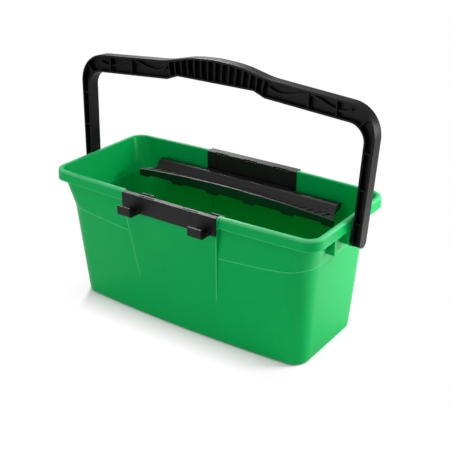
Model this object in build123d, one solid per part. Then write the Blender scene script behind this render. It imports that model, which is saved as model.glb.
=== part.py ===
from build123d import *
import os

# Tub, sizes over the outside in millimetres
RIM_LENGTH = 520.0
RIM_WIDTH = 242.0
RIM_BOW = 7.0
RIM_CORNER = 26.0
RIM_LEDGE = 5.3
RIM_THICK = 3.0
RIM_EDGE = 1.4
RIM_ROUND = 3.6
SKIRT_DEPTH = 18.0
SKIRT_WALL = 2.5
SKIRT_FLARE = 0.8
TUB_HEIGHT = 238.0
SHOULDER_DROP = 61.0
SHOULDER_DIP = 14.0
SHOULDER_INSET = 19.0
SHOULDER_SIDE_INSET = 5.5
SHOULDER_BOW = 9.0
SHOULDER_CORNER = 44.0
SHOULDER_STEP = 0.8
BASE_INSET = 12.0
BASE_SIDE_INSET = 18.0
BASE_BOW = 11.0
BASE_CORNER = 27.0
BASE_EDGE = 6.0
WALL = 2.8
FLOOR = 3.6

# Flat panel in the middle of each long side, rising from the wall to the seat of a clip
PANEL_HALF = 96.0
PANEL_FOOT_HALF = 81.0
PANEL_FOOT = 76.0
SEAT_PROUD = 2.0
SEAT_DEPTH = 28.0

# Pivot housing and gusset ribs on each end
PIVOT_DROP = 36.0
HOUSING_HALF = 12.0
HOUSING_WALL = 3.0
HOUSING_PROUD = 1.0
GUSSET_OFFSET = 50.0
GUSSET_THICK = 5.0
GUSSET_DEPTH = 45.0

# Handle, heights are measured from the pivot
HANDLE_LEAN = 3.6
HANDLE_DEPTH = 23.0
HANDLE_WEB = 3.2
HANDLE_FLANGE = 3.2
HANDLE_EDGE = 1.2
LEG_GAP = 2.7
LEG_THICK = 15.6
LEG_SPLAY = 0.042
BAR_TOP = 225.8
BAR_FALL = 0.065
BAR_THICK = 23.9
CORNER_OUT = 49.2
CORNER_IN = 31.5
GRIP_HALF = 110.0
GRIP_FOOT = 95.3
GRIP_RAMP = 20.6
GRIP_RISE = 11.0
GRIP_SWELL = 7.9
GRIP_RIBS = 15
GRIP_FAN = 14.0
RIB_THICK = 2.0
RIB_RECESS = 1.2
BAR_RIBS = (172.0, 220.0)
LEG_RIBS = (29.5, 82.9, 140.0)
WAVE_LIFT = 2.3
WAVE_SWING = 4.2
WAVE_RECESS = 4.0
WAVE_QUARTERS = 3

# Snap studs of the handle in their housings
STUD_RADIUS = 6.0
STUD_FIT = 0.08
HEAD_LIP = 1.6
HEAD_LENGTH = 3.2
COLLAR_RADIUS = 10.0
GAP = 0.3

# Clips over the long rims
CLIP_HALF = 93.0
CLIP_WALL = 2.5
CLIP_FIT = 0.2
CAP_SLOT_OFFSET = 43.0
CAP_SLOT_LENGTH = 30.0
CAP_SLOT_WIDTH = 2.6
CAP_SLOT_INSET = 3.2
CAP_SLOT_DEPTH = 5.0
HOOK_OFFSET = 70.0
HOOK_WIDTH = 25.0
HOOK_REACH = 24.0
INNER_REACH = 32.0
HOOK_HEIGHT = 17.2
HOOK_RIB = 8.0
HOOK_BEND = 4.0
BRACKET_DEPTH = 37.0
BRACKET_LEDGE = 8.5
BRACKET_LIP = 4.9
BRACKET_GAPS = 3
BRACKET_GAP_WIDTH = 27.0
BRACKET_GAP_PITCH = 62.0
BRACKET_GAP_DEPTH = 2.0

# Sieve along the rear wall
SIEVE_END_INSET = 58.0
SIEVE_TAPER = 15.0
SIEVE_WALL = 2.2
SIEVE_SETBACK = 73.5
SIEVE_CREST_DROP = 29.7
SIEVE_ARCH = 9.6
SIEVE_SKIRT = 18.0
SIEVE_SLOPE = 28.5
SIEVE_TROUGH_DROP = 44.0
SIEVE_TROUGH_WIDTH = 3.0
SIEVE_BEND = 3.0
SIEVE_ROLL_WIDTH = 12.0
SIEVE_ROLL_BEND = 6.5
SIEVE_REAR_DROP = 8.0
SIEVE_TABS = 6
TAB_MARGIN = 10.25
TAB_WIDTH = 26.0
TAB_DROP = 4.0
SLOTS = 25
SLOT_MARGIN = 22.0
SLOT_WIDTH = 5.0
SLOT_LENGTH = 24.0
FIN_INSETS = (37.0, 92.0)
FIN_DROP = 22.0

# Sizes that follow
SHOULDER_LENGTH = RIM_LENGTH - 2 * SHOULDER_INSET
SHOULDER_WIDTH = RIM_WIDTH - 2 * SHOULDER_SIDE_INSET
BASE_LENGTH = SHOULDER_LENGTH - 2 * BASE_INSET
BASE_WIDTH = SHOULDER_WIDTH - 2 * BASE_SIDE_INSET
MOUTH_LENGTH = RIM_LENGTH - 2 * RIM_LEDGE
MOUTH_WIDTH = RIM_WIDTH - 2 * RIM_LEDGE
MOUTH_CORNER = RIM_CORNER - RIM_LEDGE
SHOULDER_HEIGHT = TUB_HEIGHT - SHOULDER_DROP
PIVOT_HEIGHT = TUB_HEIGHT - PIVOT_DROP
BRACKET_FOOT = TUB_HEIGHT - BRACKET_DEPTH
SIEVE_LENGTH = RIM_LENGTH - 2 * SIEVE_END_INSET
SIEVE_FRONT = RIM_WIDTH / 2 - SIEVE_SETBACK
SIEVE_CREST = TUB_HEIGHT - SIEVE_CREST_DROP
SIEVE_TROUGH = TUB_HEIGHT - SIEVE_TROUGH_DROP
TAB_PITCH = (SIEVE_LENGTH - 2 * TAB_MARGIN) / (SIEVE_TABS - 1)
SLOT_PITCH = (SIEVE_LENGTH - 2 * SLOT_MARGIN) / (SLOTS - 1)
SEAT_OUT = RIM_WIDTH / 2 + SEAT_PROUD
SEAT_FOOT = TUB_HEIGHT - SEAT_DEPTH
HOUSING_OUT = RIM_LENGTH / 2 + HOUSING_PROUD
RIB_TOP = TUB_HEIGHT - RIM_ROUND
CLIP_OUT = SEAT_OUT + CLIP_FIT + CLIP_WALL
HOOK_FOOT = SEAT_FOOT - CLIP_FIT - CLIP_WALL
LEG_IN = HOUSING_OUT + LEG_GAP
LEG_OUT = LEG_IN + LEG_THICK


def part_way(low, high, share):
    """Value between two others, share 0 giving the first and 1 the second."""
    return low + (high - low) * share


def outline(height, length, width, bow, corner):
    """Level outline: straight ends, long sides bowed out in the middle, rounded corners."""
    half = length / 2
    side = width / 2 - bow
    front = ThreePointArc((-half, -side), (0, -width / 2), (half, -side))
    back = ThreePointArc((half, side), (0, width / 2), (-half, side))
    sides = [front, Line(front @ 1, back @ 0), back, Line(back @ 1, front @ 0)]
    face = make_face(sides)
    return Pos(0, 0, height) * fillet(face.vertices(), corner)


def rim_outline(height, inset):
    """Outline of the rim, drawn in all round."""
    return outline(
        height,
        RIM_LENGTH - 2 * inset,
        RIM_WIDTH - 2 * inset,
        RIM_BOW,
        RIM_CORNER - inset,
    )


def shoulder_line(inset, lift):
    """Closed line of the shoulder, drawn in all round, whose long sides dip towards their middle."""
    level = outline(
        SHOULDER_HEIGHT + lift,
        SHOULDER_LENGTH - 2 * inset,
        SHOULDER_WIDTH - 2 * inset,
        SHOULDER_BOW,
        SHOULDER_CORNER - inset,
    )
    edges = []
    for edge in level.edges():
        if edge.length > SHOULDER_LENGTH / 2:
            middle = edge @ 0.5 - Vector(0, 0, SHOULDER_DIP)
            edge = ThreePointArc(edge @ 0, middle, edge @ 1).edge()
        edges.append(edge)
    return Wire(edges)


def tub_form(inset, bottom):
    """Solid of the tub from its foot over the stepped shoulder to the mouth, drawn in all round."""
    foot = outline(
        bottom,
        BASE_LENGTH - 2 * inset,
        BASE_WIDTH - 2 * inset,
        BASE_BOW,
        BASE_CORNER - inset,
    )
    mouth = outline(
        TUB_HEIGHT,
        MOUTH_LENGTH - 2 * inset,
        MOUTH_WIDTH - 2 * inset,
        RIM_BOW,
        MOUTH_CORNER - inset,
    )
    lines = [
        foot.face().outer_wire(),
        shoulder_line(inset, 0),
        shoulder_line(inset - SHOULDER_STEP, SHOULDER_STEP),
        mouth.face().outer_wire(),
    ]
    form = Part(Solid.make_loft(lines, True).wrapped)
    return fillet(form.edges().group_by(Axis.Z)[0], BASE_EDGE - inset / 2)


def mouth_bevel():
    """Plug that widens upwards and breaks the inner edge of the mouth."""
    low = (TUB_HEIGHT - 2 * RIM_EDGE, WALL + RIM_EDGE)
    high = (TUB_HEIGHT, WALL - RIM_EDGE)
    sections = []
    for height, inset in (low, high):
        sections.append(
            outline(
                height,
                MOUTH_LENGTH - 2 * inset,
                MOUTH_WIDTH - 2 * inset,
                RIM_BOW,
                MOUTH_CORNER - inset,
            )
        )
    return loft(sections, ruled=True)


def wall_out(along, height):
    """Distance of the long wall's outer face from the middle plane."""
    shoulder = SHOULDER_HEIGHT - SHOULDER_DIP * (1 - (2 * along / SHOULDER_LENGTH) ** 2)
    if height < shoulder:
        share = height / shoulder
        width = part_way(BASE_WIDTH, SHOULDER_WIDTH, share)
        bow = part_way(BASE_BOW, SHOULDER_BOW, share)
        length = part_way(BASE_LENGTH, SHOULDER_LENGTH, share)
    else:
        share = (height - shoulder) / (TUB_HEIGHT - shoulder)
        width = part_way(SHOULDER_WIDTH + 2 * SHOULDER_STEP, MOUTH_WIDTH, share)
        bow = part_way(SHOULDER_BOW, RIM_BOW, share)
        length = part_way(SHOULDER_LENGTH + 2 * SHOULDER_STEP, MOUTH_LENGTH, share)
    return width / 2 - bow * (2 * along / length) ** 2


def panel_out(height):
    """Distance of the flat panel's outer face from the middle plane."""
    foot = wall_out(PANEL_FOOT_HALF, PANEL_FOOT) - GAP
    share = (height - PANEL_FOOT) / (SEAT_FOOT - PANEL_FOOT)
    return part_way(foot, SEAT_OUT, min(share, 1))


def panel(inset):
    """Front panel as a slab from the middle plane to its face, drawn in all round."""
    wide = PANEL_HALF - inset
    narrow = PANEL_FOOT_HALF - inset
    top = TUB_HEIGHT
    front_view = Polygon((-narrow, PANEL_FOOT), (narrow, PANEL_FOOT), (wide, top), (-wide, top), align=None)
    profile = [(inset - panel_out(height), height) for height in (PANEL_FOOT, SEAT_FOOT, top)]
    side_view = Polygon((0, PANEL_FOOT), *profile, (0, top), align=None)
    column = extrude(Plane.XZ * front_view, RIM_WIDTH)
    return column & extrude(Plane.YZ * side_view, RIM_LENGTH, both=True)


def panel_outside():
    """Front panel with its upper outer edge rounded like the rim."""
    slab = panel(0)
    outer_edges = slab.edges().filter_by(Axis.X).group_by(Axis.Z)[-1]
    return fillet(outer_edges.sort_by(Axis.Y)[0], RIM_ROUND)


def span(x, y, z):
    """Box given by its two limits along each axis."""
    size = [max(pair) - min(pair) for pair in (x, y, z)]
    low = [min(pair) for pair in (x, y, z)]
    return Pos(*low) * Box(*size, align=(Align.MIN, Align.MIN, Align.MIN))


def both_sides(solid):
    """A piece of the front long side together with its twin on the rear one."""
    return solid + mirror(solid, Plane.XZ)


def both_ends(solid):
    """A piece of the right end together with its twin on the left one."""
    return solid + mirror(solid, Plane.YZ)


def rim():
    """Closed lid with its hanging skirt, later opened by the tub's inside."""
    foot = TUB_HEIGHT - SKIRT_DEPTH
    lid = loft([rim_outline(foot, -SKIRT_FLARE), rim_outline(TUB_HEIGHT, 0)], ruled=True)
    lid = fillet(lid.edges().group_by(Axis.Z)[-1], RIM_ROUND)
    ceiling = TUB_HEIGHT - RIM_THICK
    space = loft([rim_outline(foot, SKIRT_WALL - SKIRT_FLARE), rim_outline(ceiling, SKIRT_WALL)], ruled=True)
    return lid - space


def pivot_housing():
    """Rounded plate with two side webs that carries one stud of the handle."""
    straight = RIB_TOP - PIVOT_HEIGHT
    face = Circle(HOUSING_HALF) + Rectangle(2 * HOUSING_HALF, straight, align=(Align.CENTER, Align.MIN))
    plate = Pos(HOUSING_OUT, 0, PIVOT_HEIGHT) * extrude(Plane.YZ * face, -HOUSING_WALL)
    web = span(
        (SHOULDER_LENGTH / 2, HOUSING_OUT),
        (HOUSING_HALF - SKIRT_WALL, HOUSING_HALF),
        (PIVOT_HEIGHT - STUD_RADIUS, RIB_TOP),
    )
    return plate + both_sides(web)


def gusset():
    """Upright rib between the end wall and the skirt."""
    middle = GUSSET_THICK / 2
    return span(
        (SHOULDER_LENGTH / 2, RIM_LENGTH / 2 - SKIRT_WALL / 2),
        (GUSSET_OFFSET - middle, GUSSET_OFFSET + middle),
        (TUB_HEIGHT - GUSSET_DEPTH, RIB_TOP),
    )


def bucket_body():
    """Tub with shoulder, side panels, rim, pivot housings and ribs."""
    outside = tub_form(0, 0) + rim() + both_sides(panel_outside())
    outside += both_ends(pivot_housing() + both_sides(gusset()))
    inside = tub_form(WALL, FLOOR) + both_sides(panel(WALL)) + mouth_bevel()
    notch_half = CLIP_HALF + CLIP_FIT
    notch = span((-notch_half, notch_half), (0, -RIM_WIDTH), (TUB_HEIGHT - CLIP_WALL, TUB_HEIGHT))
    bore = Cylinder(STUD_RADIUS + STUD_FIT, 2 * RIM_LENGTH, rotation=(0, 90, 0))
    plates = span(
        (HOUSING_OUT - 2 * HOUSING_WALL, HOUSING_OUT),
        (-HOUSING_HALF, HOUSING_HALF),
        (0, TUB_HEIGHT),
    )
    bores = both_ends(Pos(0, 0, PIVOT_HEIGHT) * bore & plates)
    return outside - inside - both_sides(notch) - bores - cap_slots()


def leg_edge(height, inset, outer):
    """Distance of a leg's inner or outer edge from the middle at a height over the pivot."""
    if outer:
        return LEG_OUT + LEG_SPLAY * height - inset
    return LEG_IN + LEG_SPLAY * height + inset


def bar_edge(along, inset, upper):
    """Height of the bar's upper or lower edge over the pivot."""
    if upper:
        return BAR_TOP - BAR_FALL * along - inset
    return BAR_TOP - BAR_THICK - BAR_FALL * along + inset


def bail_corner(inset, outer):
    """Point where a leg's edge meets the bar's edge before rounding."""
    leg = leg_edge(0, inset, outer)
    bar = bar_edge(0, inset, outer)
    along = (leg + LEG_SPLAY * bar) / (1 + LEG_SPLAY * BAR_FALL)
    return (along, bar - BAR_FALL * along)


def bail_face(inset, foot):
    """Front view of the handle, drawn in from its edges but open at the legs' ends."""
    out_corner = bail_corner(inset, True)
    in_corner = bail_corner(inset, False)
    out_foot = (leg_edge(-foot, inset, True), -foot)
    in_foot = (leg_edge(-foot, inset, False), -foot)
    ramp_foot = (GRIP_FOOT, bar_edge(GRIP_FOOT, inset, False))
    ramp_top = (GRIP_FOOT - GRIP_RAMP, ramp_foot[1] + GRIP_RISE - GRIP_RAMP * BAR_FALL)
    swell_foot = (GRIP_HALF, bar_edge(GRIP_HALF, inset, True))
    swell_knee = (GRIP_HALF / 2, bar_edge(GRIP_HALF / 2, inset, True) + GRIP_SWELL)
    swell_top = (0, bar_edge(0, inset, True) + GRIP_RISE)
    right = [in_foot, in_corner, ramp_foot, ramp_top]
    left = [(-x, y) for x, y in right]
    under = Polyline(*right, *reversed(left))
    right_top = [swell_foot, out_corner, out_foot]
    left_top = [(-x, y) for x, y in reversed(right_top)]
    knees = [swell_knee, swell_top, (-swell_knee[0], swell_knee[1])]
    swell = Spline(
        left_top[2],
        knees[2],
        knees[1],
        knees[0],
        swell_foot,
        tangents=((1, BAR_FALL), (1, -BAR_FALL)),
    )
    edges = [
        under,
        Line(left[0], left_top[0]),
        Polyline(*left_top),
        swell,
        Polyline(*right_top),
        Line(out_foot, in_foot),
    ]
    face = make_face(edges)
    face = round_corner(face, out_corner, CORNER_OUT - inset)
    return round_corner(face, in_corner, CORNER_IN + inset)


def round_corner(face, corner, radius):
    """Rounds the two mirrored corners of a front view."""
    for sign in (1, -1):
        target = Vector(sign * corner[0], corner[1], 0)
        vertex = min(face.vertices(), key=lambda item: (Vector(item) - target).length)
        face = fillet(vertex, radius)
    return face


def standing(face, depth):
    """Solid of a front view, its depth shared out to both sides of the middle plane."""
    return extrude(Plane.XZ * face, depth / 2, both=True)


def bail_ribs():
    """Thin cross ribs: a fan under the grip, a few along the bar and down the legs."""
    reach = 2 * (BAR_THICK + GRIP_RISE + GRIP_SWELL)
    rib = Box(RIB_THICK, HANDLE_DEPTH - 2 * RIB_RECESS, reach)
    ribs = []
    for index in range(GRIP_RIBS):
        share = 2 * index / (GRIP_RIBS - 1) - 1
        place = Pos(share * GRIP_FOOT, 0, bar_edge(0, 0, True))
        ribs.append(place * Rot(0, share * GRIP_FAN, 0) * rib)
    for along in BAR_RIBS:
        place = Pos(along, 0, bar_edge(along, 0, True))
        ribs.append(both_ends(place * rib))
    for height in LEG_RIBS:
        place = Pos(leg_edge(height, 0, True), 0, height)
        ribs.append(both_ends(place * Rot(0, 90, 0) * rib))
    corner = bail_corner(0, True)
    ribs.append(both_ends(Pos(corner[0], 0, corner[1]) * Rot(0, 45, 0) * rib))
    return ribs


def wave_rib():
    """Thin rib that swings between the bar's flanges, high at the first cross rib and low at the second."""
    quarter = (BAR_RIBS[1] - BAR_RIBS[0]) / 2
    swing = (1, 0, -1, 0)
    points = []
    for step in range(-WAVE_QUARTERS, WAVE_QUARTERS + 1):
        along = BAR_RIBS[0] + step * quarter
        middle = bar_edge(along, BAR_THICK / 2, True) + WAVE_LIFT
        points.append((along, middle + WAVE_SWING * swing[step % len(swing)]))
    strip = trace(Spline(*points), RIB_THICK)
    return both_ends(standing(strip, HANDLE_DEPTH - 2 * WAVE_RECESS))


def stud():
    """Collar on the right leg, stud through the housing and its snap head."""
    collar = (COLLAR_RADIUS, HOUSING_OUT + GAP, LEG_IN + HANDLE_FLANGE)
    shank = (STUD_RADIUS, HOUSING_OUT - HOUSING_WALL - GAP, LEG_IN)
    head_end = HOUSING_OUT - HOUSING_WALL - GAP - HEAD_LENGTH
    head = (STUD_RADIUS + HEAD_LIP, head_end, HOUSING_OUT - HOUSING_WALL - GAP)
    solid = None
    for radius, start, end in (collar, shank, head):
        piece = Pos((start + end) / 2, 0, 0) * Cylinder(radius, end - start, rotation=(0, 90, 0))
        solid = piece if solid is None else solid + piece
    return solid


def handle():
    """Bail of I section with a swollen, ribbed grip and rounded leg ends."""
    foot = HANDLE_DEPTH / 2
    body = standing(bail_face(0, foot), HANDLE_DEPTH)
    faces = body.edges().group_by(Axis.Y)
    body = fillet(faces[0] + faces[-1], HANDLE_EDGE)
    channel = bail_face(HANDLE_FLANGE, 2 * foot)
    pocket = standing(channel, HANDLE_DEPTH) - standing(channel, HANDLE_WEB)
    ribs = standing(bail_face(HANDLE_FLANGE / 2, foot), HANDLE_DEPTH) & Part(children=bail_ribs())
    tall = BAR_TOP + BAR_THICK
    side_view = Circle(foot) + Rectangle(HANDLE_DEPTH, tall, align=(Align.CENTER, Align.MIN))
    solid = body - pocket + ribs + wave_rib()
    solid = solid & extrude(Plane.YZ * side_view, RIM_LENGTH, both=True)
    solid += both_ends(stud())
    return Pos(0, 0, PIVOT_HEIGHT) * Rot(-HANDLE_LEAN, 0, 0) * solid


def clip_cap(inner_reach):
    """Cap that fills the rim's notch, with an outer plate over the seat."""
    half = CLIP_HALF
    cap = span((-half, half), (-CLIP_OUT, -inner_reach), (TUB_HEIGHT - CLIP_WALL, TUB_HEIGHT))
    return cap + span((-half, half), (-CLIP_OUT, CLIP_WALL - CLIP_OUT), (HOOK_FOOT, TUB_HEIGHT))


def tool_hook(reach):
    """Forward J hook with a bent-up lip and two small ribs, on a plate whose face is at zero."""
    middle = CLIP_WALL / 2
    tip = middle - reach
    path = FilletPolyline((middle, middle), (tip, middle), (tip, HOOK_HEIGHT), radius=HOOK_BEND)
    hook = extrude(Plane.YZ * trace(path, CLIP_WALL), HOOK_WIDTH / 2, both=True)
    rib_face = Polygon((middle, middle), (middle, HOOK_HEIGHT / 2), (-HOOK_RIB, middle), align=None)
    rib = extrude(Plane.YZ * rib_face, RIB_THICK / 2, both=True)
    edge = HOOK_WIDTH / 2 - RIB_THICK / 2
    return hook + both_ends(Pos(edge, 0, 0) * rib)


def cap_slots():
    """Two long slots near the outer edge of the front cap, running on into the rim below."""
    face = SlotOverall(CAP_SLOT_LENGTH, CAP_SLOT_WIDTH)
    slot = extrude(face, CAP_SLOT_DEPTH, both=True)
    return both_ends(Pos(CAP_SLOT_OFFSET, CAP_SLOT_INSET - CLIP_OUT, TUB_HEIGHT) * slot)


def front_tool_holder():
    """Clip over the front rim with two tool hooks outside and two more on tongues inside."""
    back = panel_out(HOOK_FOOT) - WALL - CLIP_FIT
    face = back - CLIP_WALL
    half = HOOK_WIDTH / 2
    tongue = span((-half, half), (-back, -face), (HOOK_FOOT, TUB_HEIGHT))
    outer_hook = Pos(0, -CLIP_OUT, HOOK_FOOT) * tool_hook(HOOK_REACH)
    inner_hook = Pos(0, -face, HOOK_FOOT) * mirror(tool_hook(INNER_REACH), Plane.XZ)
    hooks = both_ends(Pos(HOOK_OFFSET, 0, 0) * (tongue + outer_hook + inner_hook))
    return clip_cap(face) + hooks - cap_slots()


def bracket_back():
    """Distance of the bracket plate's rear face from the middle plane, just clear of the wall."""
    return wall_out(CLIP_HALF, BRACKET_FOOT) - WALL - 2 * CLIP_FIT


def rear_sieve_bracket():
    """Clip over the rear rim, its inner plate ending in a ledge with an upright lip."""
    half = CLIP_HALF
    back = bracket_back()
    face = back - CLIP_WALL
    edge = face - BRACKET_LEDGE
    clip = mirror(clip_cap(face), Plane.XZ)
    clip += span((-half, half), (face, back), (BRACKET_FOOT, TUB_HEIGHT))
    clip += span((-half, half), (edge, back), (BRACKET_FOOT, BRACKET_FOOT + CLIP_WALL))
    clip += span((-half, half), (edge, edge + CLIP_WALL), (BRACKET_FOOT, BRACKET_FOOT + BRACKET_LIP))
    gap_half = BRACKET_GAP_WIDTH / 2
    gap = span(
        (-gap_half, gap_half),
        (face - GAP, back),
        (TUB_HEIGHT - BRACKET_GAP_DEPTH, TUB_HEIGHT),
    )
    for index in range(BRACKET_GAPS):
        offset = (index - (BRACKET_GAPS - 1) / 2) * BRACKET_GAP_PITCH
        clip -= Pos(offset, 0, 0) * gap
    return clip


def sieve_rear():
    """Middle of the sieve's rear edge: distance from the middle plane and top height."""
    distance = bracket_back() - CLIP_WALL - BRACKET_LEDGE - GAP - SIEVE_WALL / 2
    height = BRACKET_FOOT + BRACKET_LIP + 3 * GAP + SIEVE_WALL / 2
    return distance, height


def upright(face, distance):
    """Puts a front view into the upright plane at a distance behind the middle plane."""
    return Pos(0, distance, 0) * (Plane.XZ * face)


def crest_arc(height):
    """Arched line of the sieve's front edge, highest in its middle."""
    half = SIEVE_LENGTH / 2
    low = height - SIEVE_ARCH
    return ThreePointArc((-half, low), (0, height), (half, low))


def sieve_slope():
    """Slotted plate between the arched crest and the straight bottom of the trough."""
    half = SIEVE_LENGTH / 2
    top = crest_arc(SIEVE_CREST)
    low = crest_arc(SIEVE_CREST - SIEVE_WALL)
    front = make_face([top, Line(top @ 1, low @ 1), low, Line(low @ 0, top @ 0)])
    rear = Pos(0, SIEVE_TROUGH) * Rectangle(2 * half, SIEVE_WALL)
    plate = loft([upright(front, SIEVE_FRONT), upright(rear, SIEVE_FRONT + SIEVE_SLOPE)], ruled=True)
    slot_start = SIEVE_FRONT + SIEVE_WALL
    slot = span(
        (-SLOT_WIDTH / 2, SLOT_WIDTH / 2),
        (slot_start, slot_start + SLOT_LENGTH),
        (SIEVE_TROUGH - SIEVE_SKIRT, SIEVE_CREST + SIEVE_SKIRT),
    )
    return plate - [Pos((number - (SLOTS - 1) / 2) * SLOT_PITCH, 0, 0) * slot for number in range(SLOTS)]


def sieve_skirt():
    """Front plate under the crest, its lower edge set with rounded drop tabs."""
    foot = SIEVE_CREST - SIEVE_SKIRT
    half = SIEVE_LENGTH / 2
    top = crest_arc(SIEVE_CREST)
    low = Line((half, foot), (-half, foot))
    face = make_face([top, Line(top @ 1, low @ 0), low, Line(low @ 1, top @ 0)])
    tab = RectangleRounded(TAB_WIDTH, 2 * TAB_DROP, TAB_DROP - GAP)
    for number in range(SIEVE_TABS):
        offset = (number - (SIEVE_TABS - 1) / 2) * TAB_PITCH
        face += Pos(offset, foot) * tab
    return extrude(upright(face, SIEVE_FRONT), SIEVE_WALL / 2, both=True)


def sieve_roll():
    """Rounded roll behind the trough with a short rear edge, and the hook over the bracket's lip."""
    rear, top = sieve_rear()
    trough = SIEVE_FRONT + SIEVE_SLOPE
    path = FilletPolyline(
        (trough - SIEVE_WALL, SIEVE_TROUGH),
        (trough + SIEVE_TROUGH_WIDTH, SIEVE_TROUGH),
        (rear - SIEVE_ROLL_WIDTH, top),
        (rear, top),
        (rear, top - SIEVE_REAR_DROP),
        radius=(SIEVE_BEND, SIEVE_ROLL_BEND, SIEVE_WALL),
    )
    leg = rear + SIEVE_WALL + CLIP_WALL + 2 * GAP
    hook = FilletPolyline(
        (rear - SIEVE_WALL, top),
        (leg, top),
        (leg, BRACKET_FOOT + CLIP_WALL + GAP),
        radius=SIEVE_WALL,
    )
    roll = extrude(Plane.YZ * trace(path, SIEVE_WALL), SIEVE_LENGTH / 2, both=True)
    return roll + extrude(Plane.YZ * trace(hook, SIEVE_WALL), CLIP_HALF - TAB_DROP, both=True)


def sieve_plan(inset):
    """Prism over the sieve's plan view, its front lip running out further than the trough."""
    front = SIEVE_LENGTH / 2 - inset
    rear = front - SIEVE_TAPER
    near = SIEVE_FRONT - SIEVE_WALL
    trough = SIEVE_FRONT + SIEVE_SLOPE
    far = RIM_WIDTH / 2
    right = [(front, near), (front, SIEVE_FRONT + SIEVE_WALL), (rear, trough), (rear, far)]
    left = [(-x, y) for x, y in reversed(right)]
    return extrude(Polygon(*right, *left, align=None), TUB_HEIGHT)


def sieve_ends():
    """Two plates that close the ends under the slope and the roll."""
    rear, top = sieve_rear()
    trough = SIEVE_FRONT + SIEVE_SLOPE
    face = Polygon(
        (SIEVE_FRONT, SIEVE_CREST - SIEVE_SKIRT),
        (SIEVE_FRONT, SIEVE_CREST - SIEVE_ARCH),
        (trough, SIEVE_TROUGH),
        (trough + SIEVE_TROUGH_WIDTH, SIEVE_TROUGH),
        (rear - SIEVE_ROLL_WIDTH, top),
        (rear, top),
        (rear, top - SIEVE_REAR_DROP),
        (trough, SIEVE_TROUGH - SIEVE_WALL),
        align=None,
    )
    block = extrude(Plane.YZ * face, SIEVE_LENGTH / 2, both=True)
    return block & (sieve_plan(0) - sieve_plan(SIEVE_WALL))


def sieve_fin(along):
    """Rib under the roll that keeps the sieve off the rear wall."""
    rear, top = sieve_rear()
    trough = SIEVE_FRONT + SIEVE_SLOPE
    foot = SIEVE_TROUGH - FIN_DROP
    wall_gap = WALL + 4 * GAP
    face = Polygon(
        (trough, SIEVE_TROUGH),
        (trough + SIEVE_TROUGH_WIDTH, SIEVE_TROUGH),
        (rear - SIEVE_ROLL_WIDTH, top),
        (rear, top),
        (rear, top - SIEVE_REAR_DROP),
        (wall_out(along, SIEVE_TROUGH) - wall_gap, SIEVE_TROUGH),
        (wall_out(along, foot) - wall_gap, foot),
        align=None,
    )
    return Pos(along, 0, 0) * extrude(Plane.YZ * face, SIEVE_WALL / 2, both=True)


def sieve():
    """Drain tray with an arched, slotted slope, a wavy front skirt, end plates and rear fins."""
    tray = (sieve_slope() + sieve_skirt() + sieve_roll()) & sieve_plan(0)
    for inset in FIN_INSETS:
        tray += both_ends(sieve_fin(SIEVE_LENGTH / 2 - inset))
    return tray + sieve_ends()


def main():
    """Writes one file for each piece of the bucket."""
    os.makedirs("parts", exist_ok=True)
    pieces = {
        "bucket_body": bucket_body(),
        "handle": handle(),
        "sieve": sieve(),
        "front_tool_holder": front_tool_holder(),
        "rear_sieve_bracket": rear_sieve_bracket(),
    }
    for name, solid in pieces.items():
        export_step(solid, f"parts/{name}.step")


main()
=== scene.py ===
import math

import bmesh
import bpy
import numpy as np
from bpy.props import FloatProperty, FloatVectorProperty, PointerProperty
from bpy.types import Operator, Panel, PropertyGroup
from mathutils import Matrix, Vector


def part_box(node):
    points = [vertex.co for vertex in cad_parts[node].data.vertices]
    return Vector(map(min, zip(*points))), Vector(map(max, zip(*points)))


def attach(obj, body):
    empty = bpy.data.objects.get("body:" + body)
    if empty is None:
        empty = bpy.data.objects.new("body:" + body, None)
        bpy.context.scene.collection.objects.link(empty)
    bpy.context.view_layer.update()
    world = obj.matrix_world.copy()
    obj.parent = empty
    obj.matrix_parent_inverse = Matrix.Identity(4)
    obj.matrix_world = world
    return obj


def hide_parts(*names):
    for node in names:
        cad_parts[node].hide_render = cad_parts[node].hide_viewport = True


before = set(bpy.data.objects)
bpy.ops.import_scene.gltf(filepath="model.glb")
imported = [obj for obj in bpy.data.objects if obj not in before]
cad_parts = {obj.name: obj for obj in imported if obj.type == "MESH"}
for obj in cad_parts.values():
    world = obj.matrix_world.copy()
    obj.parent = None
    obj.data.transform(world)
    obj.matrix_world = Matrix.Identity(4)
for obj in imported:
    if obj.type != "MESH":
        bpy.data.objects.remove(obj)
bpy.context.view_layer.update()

bl_info = {
    "name": "Window cleaning bucket",
    "version": (1, 0, 0),
    "blender": (4, 5, 0),
    "location": "View3D > Sidebar > Bucket",
    "description": "Moulded plastic finishes, a full handle and a studio for a window cleaning bucket",
    "category": "Object",
}

# Edges of the tub, in metres
RIM_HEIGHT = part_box("bucket_body")[1][2]
SKIRT_FOOT = RIM_HEIGHT - 0.018
SHOULDER_HEIGHT = RIM_HEIGHT - 0.061
SHOULDER_DIP = 0.014
SHOULDER_HALF = 0.241
PANEL_FOOT = 0.076
PANEL_HALF = 0.081
PANEL_SPREAD = 0.015 / (RIM_HEIGHT - PANEL_FOOT)
PANEL_MIDDLE = 0.14
PANEL_HEIGHT = 0.12

# Widths and depths of the tub's worn places, its painted highlight lines and the painted highlight along
# the rim, in metres
HIGHLIGHT_LINE_WIDTH = 0.0016
HIGHLIGHT_LINE_SOFT = 0.001
PANEL_HIGHLIGHT_SOFT = 0.01
SCUFF_DEPTH = 0.002
SCUFF_SOFT = 0.003
BASE_SCUFF = 0.006
BROW_HIGHLIGHT_DEPTH = 0.003
CREST_HIGHLIGHT_DEPTH = 0.0008
OUTWARD_SOFT = 0.02
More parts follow.
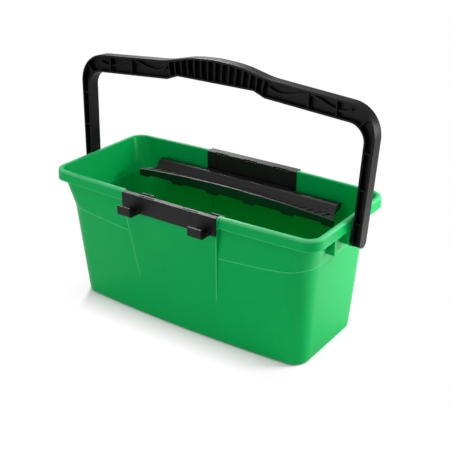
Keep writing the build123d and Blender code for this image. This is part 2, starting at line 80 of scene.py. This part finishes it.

# Colours of the worn places, the painted highlight lines, the painted highlight along the rim and the dust,
# and their shares where they are strongest
SCUFFED_GREEN = (0.12, 0.60, 0.28, 1.0)
HIGHLIGHT_LINE_GREEN = (0.10, 0.72, 0.30, 1.0)
RIM_HIGHLIGHT_GREEN = (0.16, 0.72, 0.34, 1.0)
DUST_GREY = (0.16, 0.15, 0.17, 1.0)
WALL_SCUFF_SHARE = 0.05
EDGE_SCUFF_SHARE = 0.25
HIGHLIGHT_LINE_SHARE = 0.75
BROW_HIGHLIGHT_SHARE = 0.7
CREST_HIGHLIGHT_SHARE = 0.35
DUST_SHARE = 0.06

# Sizes of the blotches in the plastics, in metres
TUB_CLOUD = 0.16
TUB_FLOW = 0.03
TUB_SCUFF = 0.004
BLACK_CLOUD = 0.05
BLACK_DUST = 0.006

# Darkest and lightest share of each plastic's colour
TUB_TINTS = (0.93, 1.07)
BLACK_TINTS = (0.8, 1.3)

# Size of the fine noise against the grain's, and depth of the blacks' grain against the tub's
TUB_FINE = 2.5
BLACK_FINE = 2.0
BLACK_GRAIN_DEPTH = 1.2

# Least roughness of the tub and the strength of its reflections
TUB_GLOSS = 0.26
TUB_SHINE = 0.12

# Solid of the handle in its own upright frame, in metres from the pivot
PIVOT = np.array((0.0, 0.0, RIM_HEIGHT - 0.036))
HANDLE_LEAN = math.radians(3.6)
CORNER_CENTRE = (0.240, 0.157)
LEG_INNER = 0.2638
LEG_SPLAY = 0.042
LEG_THICK = 0.0156
EDGE_PLACES = (0.0, 0.055, 0.0747, 0.0953, 0.110, 0.240)
EDGE_TOPS = (0.2368, 0.2301, 0.2260, 0.2217, 0.2186, 0.2102)
EDGE_FEET = (0.2054, 0.2054, 0.2054, 0.1957, 0.1947, 0.1863)
FLANGE_SHARE = 0.16

# Growth of the handle's edges along the bar, and the heights where that of its legs fades in, in metres
RISE_PLACES = (0.0, 0.020, 0.038, 0.060, 0.080, 0.095, 0.160, 0.240)
RISES = (0.0, 0.0, 0.0012, 0.0026, 0.0031, 0.0030, 0.0024, 0.0012)
RISE_START = 0.15
DROP_PLACES = (0.070, 0.095, 0.160, 0.240)
DROPS = (0.0058, 0.0038, 0.0038, 0.0048)
LEG_FADE = (0.07, 0.12)

# How the handle's mesh is joined and which of its edges stay sharp
MERGE_DISTANCE = 1e-6
SHARP_ANGLE = math.radians(35.0)

# Floor of the studio, with its sizes in metres
WHITE = (1.0, 1.0, 1.0)
FLOOR_BOUNCE = 0.8
FLOOR_HALF = 6.0
FLOOR_GAP = 0.0005
SHADOW_TINT = (1.0, 0.88, 0.97)
SHADOW_HALF = (0.212, 0.085)
SHADOW_REACH = 0.065
BRIGHTEST = 3.0

# Sizes of the lamps and their places from the camera's target or in the frame, in metres
BACK_SIZE = 0.35
BACK_PLACE = Vector((-1.09, 1.24, 1.30))
SIDE_SIZE = 0.25
SIDE_PLACE_IN_FRAME = (0.66, 0.30, 0.38)
SIDE_AIM_IN_FRAME = (0.36, 0.15, 0.03)
TOP_SIZE = 1.4
TOP_PLACE = Vector((0.1, -0.3, 1.6))
FRONT_SIZE = 1.6
FRONT_PLACE = Vector((-0.5, -1.9, 0.0))

# Width of the camera's sensor, in millimetres
SENSOR_WIDTH = 36.0


class Wire:
    """A shader value that takes part in Python sums, each operator adding one Math node."""

    def __init__(self, finish, socket):
        self.finish = finish
        self.socket = socket

    def math(self, operation, left, right=0.0):
        node = self.finish.add("ShaderNodeMath", {"operation": operation}, {0: left, 1: right})
        return Wire(self.finish, node.outputs[0])

    def __add__(self, other):
        return self.math("ADD", self, other)

    def __radd__(self, other):
        return self.math("ADD", other, self)

    def __sub__(self, other):
        return self.math("SUBTRACT", self, other)

    def __rsub__(self, other):
        return self.math("SUBTRACT", other, self)

    def __mul__(self, other):
        return self.math("MULTIPLY", self, other)

    def __rmul__(self, other):
        return self.math("MULTIPLY", other, self)

    def __truediv__(self, other):
        return self.math("DIVIDE", self, other)

    def __pow__(self, other):
        return self.math("POWER", self, other)

    def above(self, edge, soft):
        """0 below the edge and 1 above it, with a straight ramp of the given width between."""
        node = self.finish.add(
            "ShaderNodeMapRange",
            {"clamp": True},
            {"Value": self, "From Min": edge - soft / 2, "From Max": edge + soft / 2},
        )
        return Wire(self.finish, node.outputs[0])

    def band(self, middle, width, soft):
        """1 in a band about the middle value and 0 outside it, with soft edges."""
        return self.above(middle - width / 2, soft) - self.above(middle + width / 2, soft)


class Finish:
    """A material or a world under construction, with Object coordinates in metres."""

    def __init__(self, owner):
        self.owner = owner
        owner.use_nodes = True
        self.tree = owner.node_tree
        self.tree.nodes.clear()
        self.place = self.add("ShaderNodeTexCoord").outputs["Object"]

    @classmethod
    def of_material(cls, name):
        return cls(bpy.data.materials.new(name))

    def add(self, kind, settings=None, inputs=None):
        """Add a node of a type, set its own settings first and then its input sockets."""
        node = self.tree.nodes.new(kind)
        for key, value in (settings or {}).items():
            setattr(node, key, value)
        for key, value in (inputs or {}).items():
            if isinstance(value, Wire):
                value = value.socket
            if isinstance(value, bpy.types.NodeSocket):
                self.tree.links.new(value, node.inputs[key])
            else:
                node.inputs[key].default_value = value
        return node

    def axis(self, name):
        """One of the object's own coordinates, X, Y or Z, in metres."""
        split = self.add("ShaderNodeSeparateXYZ", None, {0: self.place})
        return Wire(self, split.outputs[name])

    def seen(self):
        """1 for what the camera sees, also through clear pieces, and 0 for light on its way."""
        path = self.add("ShaderNodeLightPath")
        return Wire(self, path.outputs["Is Camera Ray"]) + Wire(self, path.outputs["Is Transmission Ray"])

    def outward(self):
        """1 where the surface faces away from the upright axis and 0 where it faces the inside."""
        facing = self.add("ShaderNodeTexCoord").outputs["Normal"]
        level = self.add(
            "ShaderNodeVectorMath",
            {"operation": "MULTIPLY"},
            {0: self.place, 1: (1.0, 1.0, 0.0)},
        )
        away = self.add(
            "ShaderNodeVectorMath",
            {"operation": "DOT_PRODUCT"},
            {0: facing, 1: level.outputs[0]},
        )
        return Wire(self, away.outputs["Value"]).above(OUTWARD_SOFT, OUTWARD_SOFT)

    def noise(self, size, detail=2.0, roughness=0.5, stretch=(1.0, 1.0, 1.0)):
        """Soft noise from 0 to 1 whose blotches are about the given size in metres."""
        where = self.add("ShaderNodeMapping", None, {"Vector": self.place, "Scale": stretch})
        node = self.add(
            "ShaderNodeTexNoise",
            None,
            {"Vector": where.outputs[0], "Scale": 1.0 / size, "Detail": detail, "Roughness": roughness},
        )
        return Wire(self, node.outputs[0])

    def grain(self, size):
        """Moulded grain: the distance to the nearest of scattered points, from 0 to about 1."""
        node = self.add("ShaderNodeTexVoronoi", None, {"Vector": self.place, "Scale": 1.0 / size})
        return Wire(self, node.outputs["Distance"])

    def blend(self, share, first, second):
        """A colour between two colours, by a share from 0 to 1."""
        node = self.add(
            "ShaderNodeMix",
            {"data_type": "RGBA", "clamp_factor": True},
            {0: share, 6: first, 7: second},
        )
        return node.outputs[2]

    def bump(self, height, depth):
        """A surface normal from a height that is 1 for the given depth in metres."""
        node = self.add("ShaderNodeBump", None, {"Strength": 1.0, "Distance": depth, "Height": height})
        return node.outputs[0]

    def plastic(self, **sockets):
        """Close the material with one Principled shader."""
        inputs = {key.replace("_", " "): value for key, value in sockets.items()}
        shader = self.add("ShaderNodeBsdfPrincipled", None, inputs)
        self.add("ShaderNodeOutputMaterial", None, {"Surface": shader.outputs[0]})
        return self.owner


def shade(colour, factor, top=1.0):
    """A colour with each channel times a factor, held under a top value, as RGBA."""
    return (*(min(top, channel * factor) for channel in colour), 1.0)


def dress(node, material):
    """Give every material slot of a CAD node's object the material."""
    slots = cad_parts[node].material_slots
    if not slots:
        raise RuntimeError("no material slot on " + node)
    for holder in slots:
        holder.material = material


class BucketFinishes(PropertyGroup):
    """Colours and surface sizes of the plastic mouldings."""

    tub_colour: FloatVectorProperty(
        name="Tub green",
        description="Colour of the tub's plastic",
        subtype="COLOR",
        size=3,
        min=0.0,
        max=1.0,
        default=(0.0003, 0.5, 0.113),
    )
    black_colour: FloatVectorProperty(
        name="Black",
        description="Colour of the handle, sieve and clips",
        subtype="COLOR",
        size=3,
        min=0.0,
        max=1.0,
        default=(0.004, 0.0037, 0.004),
    )
    grain_size: FloatProperty(
        name="Grain size",
        description="Spacing of the moulded grain",
        unit="LENGTH",
        default=0.0009,
        min=0.0001,
    )
    grain_depth: FloatProperty(
        name="Grain depth",
        description="Depth of the moulded grain",
        unit="LENGTH",
        default=0.00003,
        min=0.0,
        precision=6,
    )


class BucketHandle(PropertyGroup):
    """How much fuller the seen handle is than its plain solid."""

    fullness: FloatProperty(
        name="Fullness",
        description="Share of the bar's and the grip's extra height that is put on",
        subtype="FACTOR",
        default=1.0,
        min=0.0,
        max=1.0,
    )
    leg_growth: FloatProperty(
        name="Leg growth",
        description="How far the legs' inner faces stand in from the solid's",
        unit="LENGTH",
        default=0.0016,
        min=0.0,
        max=0.002,
        precision=4,
    )


class BucketStudio(PropertyGroup):
    """Camera and lamps of the picture."""

    azimuth: FloatProperty(
        name="Azimuth",
        description="Turn of the camera round the bucket, from straight in front",
        subtype="ANGLE",
        default=math.radians(35.12),
    )
    elevation: FloatProperty(
        name="Elevation",
        description="How far the camera looks down",
        subtype="ANGLE",
        default=math.radians(24.78),
    )
    distance: FloatProperty(
        name="Distance",
        description="From the camera to the point it looks at",
        unit="LENGTH",
        default=1.5022,
    )
    target: FloatVectorProperty(
        name="Target",
        description="Point that the camera looks at",
        subtype="XYZ",
        unit="LENGTH",
        size=3,
        default=(0.0226, 0.0, 0.1615),
    )
    lens: FloatProperty(
        name="Lens",
        description="Focal length for a 36 mm wide sensor, in millimetres",
        unit="CAMERA",
        default=71.26,
    )
    back_power: FloatProperty(
        name="Back light",
        description="Power of the small lamp behind the left end, which draws the bright lines on the rim",
        unit="POWER",
        default=24.0,
    )
    side_power: FloatProperty(
        name="Side light",
        description="Power of the lamp over the floor beside the right end",
        unit="POWER",
        default=3.7,
    )
    top_power: FloatProperty(
        name="Top light",
        description="Power of the large soft lamp overhead",
        unit="POWER",
        default=9.0,
    )
    front_power: FloatProperty(
        name="Front light",
        description="Power of the low soft lamp in front",
        unit="POWER",
        default=13.8,
    )
    room: FloatProperty(
        name="Room light",
        description="Strength of the light from all round",
        default=0.24,
        min=0.0,
    )
    floor_white: FloatProperty(
        name="Floor white",
        description="How bright the floor in the shadow is where the camera sees it",
        default=1.35,
        min=0.0,
    )


def painted_highlight_lines(finish, height):
    """1 on the tub's sharp moulded edges where they face outwards, as painted highlight lines: the skirt's
    foot, the dipping shoulder and the panel's sides.

    The shoulder's height is its height at the ends less a dip that falls off with the square of X.
    """
    along = finish.axis("X")
    beside = (along * along) ** 0.5 - PANEL_HALF - PANEL_SPREAD * (height - PANEL_FOOT)
    dip = SHOULDER_DIP * (1.0 - along * along / SHOULDER_HALF**2)
    shoulder = (height + dip).band(SHOULDER_HEIGHT, HIGHLIGHT_LINE_WIDTH, HIGHLIGHT_LINE_SOFT) * beside.above(0.0, HIGHLIGHT_LINE_SOFT)
    skirt = height.band(SKIRT_FOOT, HIGHLIGHT_LINE_WIDTH, HIGHLIGHT_LINE_SOFT)
    upright = beside.band(-HIGHLIGHT_LINE_WIDTH, HIGHLIGHT_LINE_WIDTH, HIGHLIGHT_LINE_SOFT)
    panel = upright * height.band(PANEL_MIDDLE, PANEL_HEIGHT, PANEL_HIGHLIGHT_SOFT)
    return (shoulder + skirt + panel) * finish.outward()


class BUCKET_OT_tub(Operator):
    """Give the tub its satin green moulded plastic"""

    bl_idname = "bucket.tub"
    bl_label = "Green tub"

    def execute(self, context):
        style = context.scene.bucket_finishes
        finish = Finish.of_material("green_tub_plastic")
        cloud = finish.noise(TUB_CLOUD, detail=3.0, roughness=0.55)
        flow = finish.noise(TUB_FLOW, detail=4.0, roughness=0.6, stretch=(1.0, 1.0, 0.25))
        scratch = finish.noise(TUB_SCUFF, detail=5.0, roughness=0.7, stretch=(1.0, 1.0, 0.3))
        scuff = scratch.above(edge=0.66, soft=0.1)
        height = finish.axis("Z")
        rim = height.above(RIM_HEIGHT - SCUFF_DEPTH, SCUFF_SOFT)
        rubbed = rim + height.band(BASE_SCUFF / 2, BASE_SCUFF, BASE_SCUFF)
        dark, light = (shade(style.tub_colour, share) for share in TUB_TINTS)
        colour = finish.blend(0.6 * cloud + 0.4 * flow, dark, light)
        # Real scuffs first, then the painted highlights on top of them
        wear_and_painted_highlights = finish.blend(scuff * (WALL_SCUFF_SHARE + EDGE_SCUFF_SHARE * rubbed), colour, SCUFFED_GREEN)
        # Painted highlight lines along the skirt's foot, the shoulder and the panel's sides
        wear_and_painted_highlights = finish.blend(HIGHLIGHT_LINE_SHARE * painted_highlight_lines(finish, height), wear_and_painted_highlights, HIGHLIGHT_LINE_GREEN)
        # Painted highlight along the top of the rim: a band down its outer faces and a thinner one on its
        # crest
        brow_highlight = height.above(RIM_HEIGHT - BROW_HIGHLIGHT_DEPTH, BROW_HIGHLIGHT_DEPTH) * finish.outward()
        crest_highlight = height.above(RIM_HEIGHT - CREST_HIGHLIGHT_DEPTH, CREST_HIGHLIGHT_DEPTH)
        wear_and_painted_highlights = finish.blend(BROW_HIGHLIGHT_SHARE * brow_highlight + CREST_HIGHLIGHT_SHARE * crest_highlight * (1.0 - brow_highlight), wear_and_painted_highlights, RIM_HIGHLIGHT_GREEN)
        grain = finish.grain(style.grain_size)
        fine = finish.noise(style.grain_size * TUB_FINE, detail=3.0, roughness=0.6)
        material = finish.plastic(
            Base_Color=wear_and_painted_highlights,
            Roughness=TUB_GLOSS + 0.06 * cloud + 0.05 * fine + 0.10 * scuff,
            Specular_IOR_Level=TUB_SHINE,
            Normal=finish.bump(0.5 * grain + 0.5 * fine, style.grain_depth),
        )
        dress("bucket_body", material)
        return {"FINISHED"}


def black_plastic(style, name, gloss, shine, grain_share):
    """Black moulded plastic: a fine grain, faint flow clouds and dusty rubbed patches.

    The gloss is the least roughness, the shine is the strength of the reflections, and the grain's share is
    its size against the tub's.
    """
    finish = Finish.of_material(name)
    cloud = finish.noise(BLACK_CLOUD, detail=3.0, roughness=0.55)
    dust = finish.noise(BLACK_DUST, detail=5.0, roughness=0.7).above(edge=0.62, soft=0.16)
    grain = finish.grain(style.grain_size * grain_share)
    fine = finish.noise(style.grain_size * BLACK_FINE, detail=3.0, roughness=0.6)
    dark, light = (shade(style.black_colour, share) for share in BLACK_TINTS)
    colour = finish.blend(cloud, dark, light)
    dusty = finish.blend(DUST_SHARE * dust, colour, DUST_GREY)
    return finish.plastic(
        Base_Color=dusty,
        Roughness=gloss + 0.08 * cloud + 0.08 * fine + 0.08 * dust,
        Specular_IOR_Level=shine,
        Normal=finish.bump(0.6 * grain + 0.4 * fine, style.grain_depth * BLACK_GRAIN_DEPTH),
    )


def merged_copy(node):
    """The points and triangles of a CAD node's mesh as arrays, with the doubled points merged."""
    work = bmesh.new()
    work.from_mesh(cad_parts[node].data)
    bmesh.ops.remove_doubles(work, verts=work.verts, dist=MERGE_DISTANCE)
    mesh = bpy.data.meshes.new(node + "_points")
    work.to_mesh(mesh)
    work.free()
    points = np.empty(3 * len(mesh.vertices))
    mesh.vertices.foreach_get("co", points)
    triangles = np.empty(3 * len(mesh.polygons), dtype=int)
    mesh.polygons.foreach_get("vertices", triangles)
    bpy.data.meshes.remove(mesh)
    return points.reshape(-1, 3), triangles.reshape(-1, 3)


def fuller_bar(points, style):
    """Move the two edges of the bail apart, in the handle's own leaning frame.

    With a the angle round the corner's centre, held between 0 on the leg and 90 degrees on the bar, a point
    moves along (cos a, sin a) by -drop + (drop + rise) * t. Here t is 0 on the inner flange, 1 on the outer
    flange and a straight ramp between them. Rise and drop follow tables along the bar, turn into the leg's
    growth round the corner and fade out above the pivot.
    """
    turn = np.array(Matrix.Rotation(HANDLE_LEAN, 3, "X"))
    own = (points - PIVOT) @ turn.T
    side, height = np.abs(own[:, 0]), own[:, 2]
    out, up = side - CORNER_CENTRE[0], height - CORNER_CENTRE[1]
    quarter = math.pi / 2.0
    angle = np.clip(np.arctan2(up, out), 0.0, quarter)
    bar = angle / quarter
    radius = np.hypot(np.maximum(out, 0.0), np.maximum(up, 0.0))
    leg_inner = LEG_INNER - CORNER_CENTRE[0] + LEG_SPLAY * np.minimum(height, CORNER_CENTRE[1])
    foot = np.interp(side, EDGE_PLACES, EDGE_FEET) - CORNER_CENTRE[1]
    top = np.interp(side, EDGE_PLACES, EDGE_TOPS) - CORNER_CENTRE[1]
    inner = leg_inner + (foot - leg_inner) * bar
    outer = leg_inner + LEG_THICK + (top - leg_inner - LEG_THICK) * bar
    share = ((radius - inner) / (outer - inner) - FLANGE_SHARE) / (1.0 - 2.0 * FLANGE_SHARE)
    rise = style.fullness * np.interp(side, RISE_PLACES, RISES)
    rise = rise * np.clip((bar - RISE_START) / (1.0 - RISE_START), 0.0, 1.0)
    leg_drop = style.leg_growth * np.interp(height, LEG_FADE, (0.0, 1.0))
    drop = leg_drop + (style.fullness * np.interp(side, DROP_PLACES, DROPS) - leg_drop) * bar
    move = (drop + rise) * np.clip(share, 0.0, 1.0) - drop
    own[:, 0] += np.sign(own[:, 0]) * np.cos(angle) * move
    own[:, 2] += np.sin(angle) * move
    return own @ turn + PIVOT


class BUCKET_OT_handle(Operator):
    """Make the carrying handle with its full bar and grip, in satin black plastic"""

    bl_idname = "bucket.handle"
    bl_label = "Black handle"

    def execute(self, context):
        points, triangles = merged_copy("handle")
        points = fuller_bar(points, context.scene.bucket_handle)
        mesh = bpy.data.meshes.new("handle_moulding")
        mesh.from_pydata(points.tolist(), [], triangles.tolist())
        mesh.shade_smooth()
        mesh.set_sharp_from_angle(angle=SHARP_ANGLE)
        moulding = bpy.data.objects.new("handle_moulding", mesh)
        context.scene.collection.objects.link(moulding)
        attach(moulding, "handle")
        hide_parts("handle")
        style = context.scene.bucket_finishes
        material = black_plastic(style, "black_handle_plastic", gloss=0.34, shine=0.2, grain_share=1.0)
        mesh.materials.append(material)
        return {"FINISHED"}


class BUCKET_OT_sieve(Operator):
    """Give the sieve its black plastic"""

    bl_idname = "bucket.sieve"
    bl_label = "Black sieve"

    def execute(self, context):
        style = context.scene.bucket_finishes
        material = black_plastic(style, "black_sieve_plastic", gloss=0.26, shine=0.85, grain_share=0.8)
        dress("sieve", material)
        return {"FINISHED"}


class BUCKET_OT_clips(Operator):
    """Give the tool holder and the sieve bracket their black plastic"""

    bl_idname = "bucket.clips"
    bl_label = "Black clips"

    def execute(self, context):
        style = context.scene.bucket_finishes
        material = black_plastic(style, "black_clip_plastic", gloss=0.4, shine=0.38, grain_share=0.8)
        dress("front_tool_holder", material)
        dress("rear_sieve_bracket", material)
        return {"FINISHED"}


def sheet(name, u, v, surface):
    """A mesh over a grid: surface(u, v) gives x, y and z as whole arrays."""
    across, along = np.meshgrid(u, v, indexing="ij")
    points = np.stack(surface(across, along), axis=-1).reshape(-1, 3)
    number = np.arange(points.shape[0]).reshape(across.shape)
    quads = np.stack([number[:-1, :-1], number[1:, :-1], number[1:, 1:], number[:-1, 1:]], axis=-1)
    mesh = bpy.data.meshes.new(name)
    mesh.from_pydata(points.tolist(), [], quads.reshape(-1, 4).tolist())
    mesh.shade_smooth()
    made = bpy.data.objects.new(name, mesh)
    bpy.context.scene.collection.objects.link(made)
    return made


def white_floor(white):
    """White studio floor: matt with the shadow close to the base, fading to plain white where it is seen.

    The fade goes with the distance from the rectangle under the tub, from 0 on its edge to 1 at the reach.
    """
    finish = Finish.of_material("studio_floor")
    seen = finish.seen()
    colour = finish.blend(seen, shade(WHITE, FLOOR_BOUNCE), shade(SHADOW_TINT, white, BRIGHTEST))
    matt = finish.add("ShaderNodeBsdfDiffuse", None, {"Color": colour})
    along, across = finish.axis("X"), finish.axis("Y")
    along = ((along * along) ** 0.5).above(SHADOW_HALF[0] + SHADOW_REACH / 2.0, SHADOW_REACH)
    across = ((across * across) ** 0.5).above(SHADOW_HALF[1] + SHADOW_REACH / 2.0, SHADOW_REACH)
    away = ((along * along + across * across) ** 0.5).above(edge=0.5, soft=1.0)
    glow = finish.add("ShaderNodeEmission", None, {"Strength": 1.0})
    both = finish.add(
        "ShaderNodeMixShader",
        None,
        {0: seen * away, 1: matt.outputs[0], 2: glow.outputs[0]},
    )
    finish.add("ShaderNodeOutputMaterial", None, {"Surface": both.outputs[0]})
    return finish.owner


def lamp(name, power, size, where, target):
    """A square soft lamp at a place, turned towards the target."""
    light = bpy.data.lights.new(name, "AREA")
    light.energy = power
    light.size = size
    made = bpy.data.objects.new(name, light)
    made.location = where
    made.rotation_euler = (Vector(target) - Vector(where)).to_track_quat("-Z", "Y").to_euler()
    bpy.context.scene.collection.objects.link(made)


def soft_room(strength):
    """World light of one strength from all round, plain white where it is seen."""
    finish = Finish(bpy.data.worlds.new("soft_room"))
    light = finish.add(
        "ShaderNodeBackground",
        None,
        {"Color": (*WHITE, 1.0), "Strength": strength + finish.seen() * (1.0 - strength)},
    )
    finish.add("ShaderNodeOutputWorld", None, {"Surface": light.outputs[0]})
    bpy.context.scene.world = finish.owner


class BUCKET_OT_stage(Operator):
    """Set the white floor, the soft lamps and the camera"""

    bl_idname = "bucket.stage"
    bl_label = "Studio"

    def execute(self, context):
        studio = context.scene.bucket_studio
        span = np.linspace(-FLOOR_HALF, FLOOR_HALF, 3)
        floor = sheet("studio_floor", span, span, lambda u, v: (u, v, 0.0 * u - FLOOR_GAP))
        floor.data.materials.append(white_floor(studio.floor_white))

        target = Vector(studio.target)
        lamp("back_lamp", studio.back_power, BACK_SIZE, target + BACK_PLACE, target)
        lamp("side_lamp", studio.side_power, SIDE_SIZE, SIDE_PLACE_IN_FRAME, SIDE_AIM_IN_FRAME)
        lamp("top_lamp", studio.top_power, TOP_SIZE, target + TOP_PLACE, target)
        lamp("front_lamp", studio.front_power, FRONT_SIZE, target + FRONT_PLACE, target)
        soft_room(studio.room)

        turn, dip = studio.azimuth, studio.elevation
        right = Vector((math.cos(turn), math.sin(turn), 0.0))
        ahead = Vector((-math.sin(turn) * math.cos(dip), math.cos(turn) * math.cos(dip), -math.sin(dip)))
        upward = right.cross(ahead)
        place = Matrix((right, upward, -ahead)).transposed().to_4x4()
        place.translation = target - studio.distance * ahead
        lens = bpy.data.cameras.new("camera")
        lens.sensor_width = SENSOR_WIDTH
        lens.lens = studio.lens
        camera = bpy.data.objects.new("camera", lens)
        camera.matrix_world = place
        scene = context.scene
        scene.collection.objects.link(camera)
        scene.camera = camera
        scene.view_settings.view_transform = "Standard"
        return {"FINISHED"}


class BUCKET_PT_sidebar(Panel):
    """The bucket's finishes, its handle and the studio, in the order in which they are made"""

    bl_idname = "BUCKET_PT_sidebar"
    bl_label = "Window cleaning bucket"
    bl_space_type = "VIEW_3D"
    bl_region_type = "UI"
    bl_category = "Bucket"

    def draw(self, context):
        for group, operators in (
            (context.scene.bucket_finishes, ()),
            (context.scene.bucket_handle, PIECE_OPERATORS),
            (context.scene.bucket_studio, (BUCKET_OT_stage,)),
        ):
            column = self.layout.column()
            for name in group.__annotations__:
                column.prop(group, name)
            for operator in operators:
                column.operator(operator.bl_idname)


PIECE_OPERATORS = (BUCKET_OT_tub, BUCKET_OT_handle, BUCKET_OT_sieve, BUCKET_OT_clips)
CLASSES = (
    BucketFinishes,
    BucketHandle,
    BucketStudio,
    *PIECE_OPERATORS,
    BUCKET_OT_stage,
    BUCKET_PT_sidebar,
)


def register():
    for entry in CLASSES:
        bpy.utils.register_class(entry)
    bpy.types.Scene.bucket_finishes = PointerProperty(type=BucketFinishes)
    bpy.types.Scene.bucket_handle = PointerProperty(type=BucketHandle)
    bpy.types.Scene.bucket_studio = PointerProperty(type=BucketStudio)


def unregister():
    del bpy.types.Scene.bucket_studio
    del bpy.types.Scene.bucket_handle
    del bpy.types.Scene.bucket_finishes
    for entry in reversed(CLASSES):
        bpy.utils.unregister_class(entry)


def main():
    """Make the pieces and the stage in order."""
    register()
    bpy.ops.bucket.tub()
    bpy.ops.bucket.handle()
    bpy.ops.bucket.sieve()
    bpy.ops.bucket.clips()
    bpy.ops.bucket.stage()


if __name__ == "__main__":
    main()
